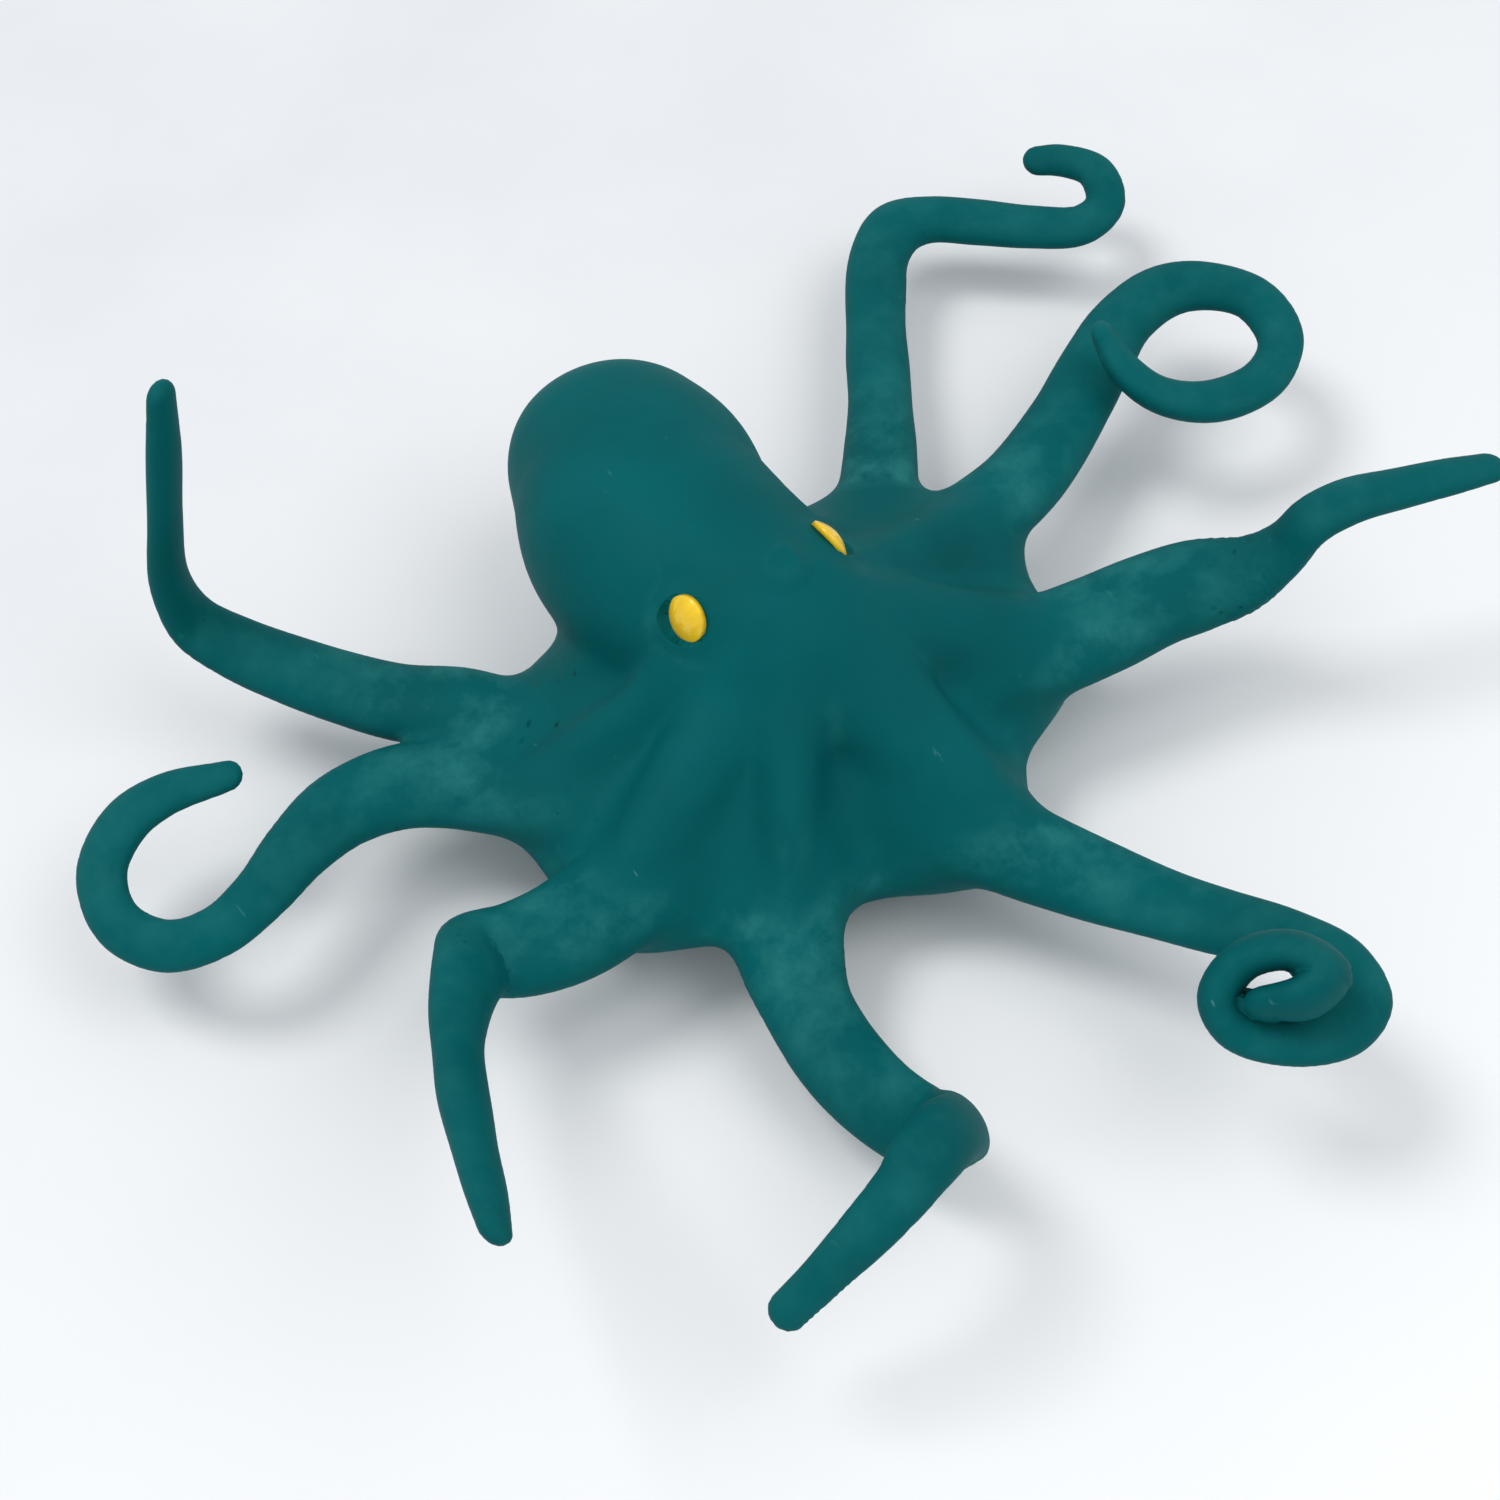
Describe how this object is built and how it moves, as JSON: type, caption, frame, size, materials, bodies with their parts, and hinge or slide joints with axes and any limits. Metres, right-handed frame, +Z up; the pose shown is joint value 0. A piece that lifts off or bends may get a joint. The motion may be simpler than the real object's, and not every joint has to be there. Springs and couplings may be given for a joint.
{
  "type": "bendable octopus figurine",
  "caption": "Bendable toy octopus with a soft moulded skin over a wire armature, raised round eyes and curled, posable arms that bend beside the web and at the knee.",
  "frame": {"origin": "middle of the flat belly, on the surface that the figurine rests on", "axes": "+Z up out of the back of the web, -Y the way the two front arms reach, +X to the octopus's own left"},
  "size_m": [0.2078, 0.1643, 0.0648],
  "materials": {
    "skin": "matte, faintly chalky on ridges",
    "eye": "glossy",
    "wire": "drawn",
    "hub": "moulded"
  },
  "bodies": {
    "torso": {"body_skin": "skin", "armature_hub": "hub", "root_wires": "wire", "eye_right": "eye", "eye_left": "eye"},
    "arm_right_1_inner": {"arm_right_1_root_sleeve": "skin", "arm_right_1_inner_sleeve": "skin", "arm_right_1_knee_sleeve": "skin", "arm_right_1_inner_wire": "wire"},
    "arm_right_1_outer": {"arm_right_1_outer_sleeve": "skin", "arm_right_1_outer_wire": "wire"},
    "arm_right_2_inner": {"arm_right_2_root_sleeve": "skin", "arm_right_2_inner_sleeve": "skin", "arm_right_2_knee_sleeve": "skin", "arm_right_2_inner_wire": "wire"},
    "arm_right_2_outer": {"arm_right_2_outer_sleeve": "skin", "arm_right_2_outer_wire": "wire"},
    "arm_right_3_inner": {"arm_right_3_root_sleeve": "skin", "arm_right_3_inner_sleeve": "skin", "arm_right_3_knee_sleeve": "skin", "arm_right_3_inner_wire": "wire"},
    "arm_right_3_outer": {"arm_right_3_outer_sleeve": "skin", "arm_right_3_outer_wire": "wire"},
    "arm_right_4_inner": {"arm_right_4_root_sleeve": "skin", "arm_right_4_inner_sleeve": "skin", "arm_right_4_knee_sleeve": "skin", "arm_right_4_inner_wire": "wire"},
    "arm_right_4_outer": {"arm_right_4_outer_sleeve": "skin", "arm_right_4_outer_wire": "wire"},
    "arm_left_1_inner": {"arm_left_1_root_sleeve": "skin", "arm_left_1_inner_sleeve": "skin", "arm_left_1_knee_sleeve": "skin", "arm_left_1_inner_wire": "wire"},
    "arm_left_1_outer": {"arm_left_1_outer_sleeve": "skin", "arm_left_1_outer_wire": "wire"},
    "arm_left_2_inner": {"arm_left_2_root_sleeve": "skin", "arm_left_2_inner_sleeve": "skin", "arm_left_2_knee_sleeve": "skin", "arm_left_2_inner_wire": "wire"},
    "arm_left_2_outer": {"arm_left_2_outer_sleeve": "skin", "arm_left_2_outer_wire": "wire"},
    "arm_left_3_inner": {"arm_left_3_root_sleeve": "skin", "arm_left_3_inner_sleeve": "skin", "arm_left_3_knee_sleeve": "skin", "arm_left_3_inner_wire": "wire"},
    "arm_left_3_outer": {"arm_left_3_outer_sleeve": "skin", "arm_left_3_outer_wire": "wire"},
    "arm_left_4_inner": {"arm_left_4_root_sleeve": "skin", "arm_left_4_inner_sleeve": "skin", "arm_left_4_knee_sleeve": "skin", "arm_left_4_inner_wire": "wire"},
    "arm_left_4_outer": {"arm_left_4_outer_sleeve": "skin", "arm_left_4_outer_wire": "wire"}
  },
  "joints": [
    {"name": "arm_right_1_root", "type": "hinge", "parent": "torso", "child": "arm_right_1_inner", "pos_m": [-0.0257, -0.04, 0.012], "axis": [-0.9732, 0.23, 0], "range_deg": [-12, 35], "deforming": ["arm_right_1_root_sleeve"]},
    {"name": "arm_right_1_knee", "type": "hinge", "parent": "arm_right_1_inner", "child": "arm_right_1_outer", "pos_m": [-0.0236, -0.069, 0.0195], "axis": [-0.6853, -0.5776, -0.4435], "range_deg": [-60, 10], "deforming": ["arm_right_1_knee_sleeve"]},
    {"name": "arm_right_2_root", "type": "hinge", "parent": "torso", "child": "arm_right_2_inner", "pos_m": [-0.0465, -0.0141, 0.018], "axis": [0.042, 0.9991, 0], "range_deg": [-15, 35], "deforming": ["arm_right_2_root_sleeve"]},
    {"name": "arm_right_2_knee", "type": "hinge", "parent": "arm_right_2_inner", "child": "arm_right_2_outer", "pos_m": [-0.062, -0.0155, 0.024], "axis": [0.5087, 0.2764, 0.8153], "range_deg": [-45, 10], "deforming": ["arm_right_2_knee_sleeve"]},
    {"name": "arm_right_3_root", "type": "hinge", "parent": "torso", "child": "arm_right_3_inner", "pos_m": [-0.0524, 0.0175, 0.017], "axis": [0.2573, 0.9663, 0], "range_deg": [-10, 45], "deforming": ["arm_right_3_root_sleeve"]},
    {"name": "arm_right_3_knee", "type": "hinge", "parent": "arm_right_3_inner", "child": "arm_right_3_outer", "pos_m": [-0.0762, 0.0127, 0.019], "axis": [-0.2892, 0.9425, 0.1677], "range_deg": [-12, 45], "deforming": ["arm_right_3_knee_sleeve"]},
    {"name": "arm_right_4_root", "type": "hinge", "parent": "torso", "child": "arm_right_4_inner", "pos_m": [-0.0449, 0.0303, 0.017], "axis": [0.708, 0.7062, 0], "range_deg": [-15, 45], "deforming": ["arm_right_4_root_sleeve"]},
    {"name": "arm_right_4_knee", "type": "hinge", "parent": "arm_right_4_inner", "child": "arm_right_4_outer", "pos_m": [-0.0622, 0.0551, 0.023], "axis": [0.8579, 0.5136, -0.0147], "range_deg": [-60, 15], "deforming": ["arm_right_4_knee_sleeve"]},
    {"name": "arm_left_1_root", "type": "hinge", "parent": "torso", "child": "arm_left_1_inner", "pos_m": [0.0146, -0.0471, 0.016], "axis": [-0.9042, -0.4271, 0], "range_deg": [-15, 45], "deforming": ["arm_left_1_root_sleeve"]},
    {"name": "arm_left_1_knee", "type": "hinge", "parent": "arm_left_1_inner", "child": "arm_left_1_outer", "pos_m": [0.0221, -0.065, 0.021], "axis": [-0.9128, -0.4083, -0.0056], "range_deg": [-12, 50], "deforming": ["arm_left_1_knee_sleeve"]},
    {"name": "arm_left_2_root", "type": "hinge", "parent": "torso", "child": "arm_left_2_inner", "pos_m": [0.0502, -0.0201, 0.021], "axis": [-0.2517, -0.9678, 0], "range_deg": [-15, 45], "deforming": ["arm_left_2_root_sleeve"]},
    {"name": "arm_left_2_knee", "type": "hinge", "parent": "arm_left_2_inner", "child": "arm_left_2_outer", "pos_m": [0.0664, -0.0285, 0.029], "axis": [-0.385, 0.3666, 0.847], "range_deg": [-30, 25], "deforming": ["arm_left_2_knee_sleeve"]},
    {"name": "arm_left_3_root", "type": "hinge", "parent": "torso", "child": "arm_left_3_inner", "pos_m": [0.0546, 0.0114, 0.016], "axis": [0.3522, -0.9359, 0], "range_deg": [-14, 45], "deforming": ["arm_left_3_root_sleeve"]},
    {"name": "arm_left_3_knee", "type": "hinge", "parent": "arm_left_3_inner", "child": "arm_left_3_outer", "pos_m": [0.068, 0.0175, 0.016], "axis": [0.4372, -0.8993, 0.0093], "range_deg": [-7, 40], "deforming": ["arm_left_3_knee_sleeve"]},
    {"name": "arm_left_4_root", "type": "hinge", "parent": "torso", "child": "arm_left_4_inner", "pos_m": [0.0475, 0.0386, 0.014], "axis": [0.8031, -0.5958, 0], "range_deg": [-7, 45], "deforming": ["arm_left_4_root_sleeve"]},
    {"name": "arm_left_4_knee", "type": "hinge", "parent": "arm_left_4_inner", "child": "arm_left_4_outer", "pos_m": [0.0752, 0.0687, 0.013], "axis": [0, 0, -1], "range_deg": [-60, 10], "deforming": ["arm_left_4_knee_sleeve"]}
  ]
}
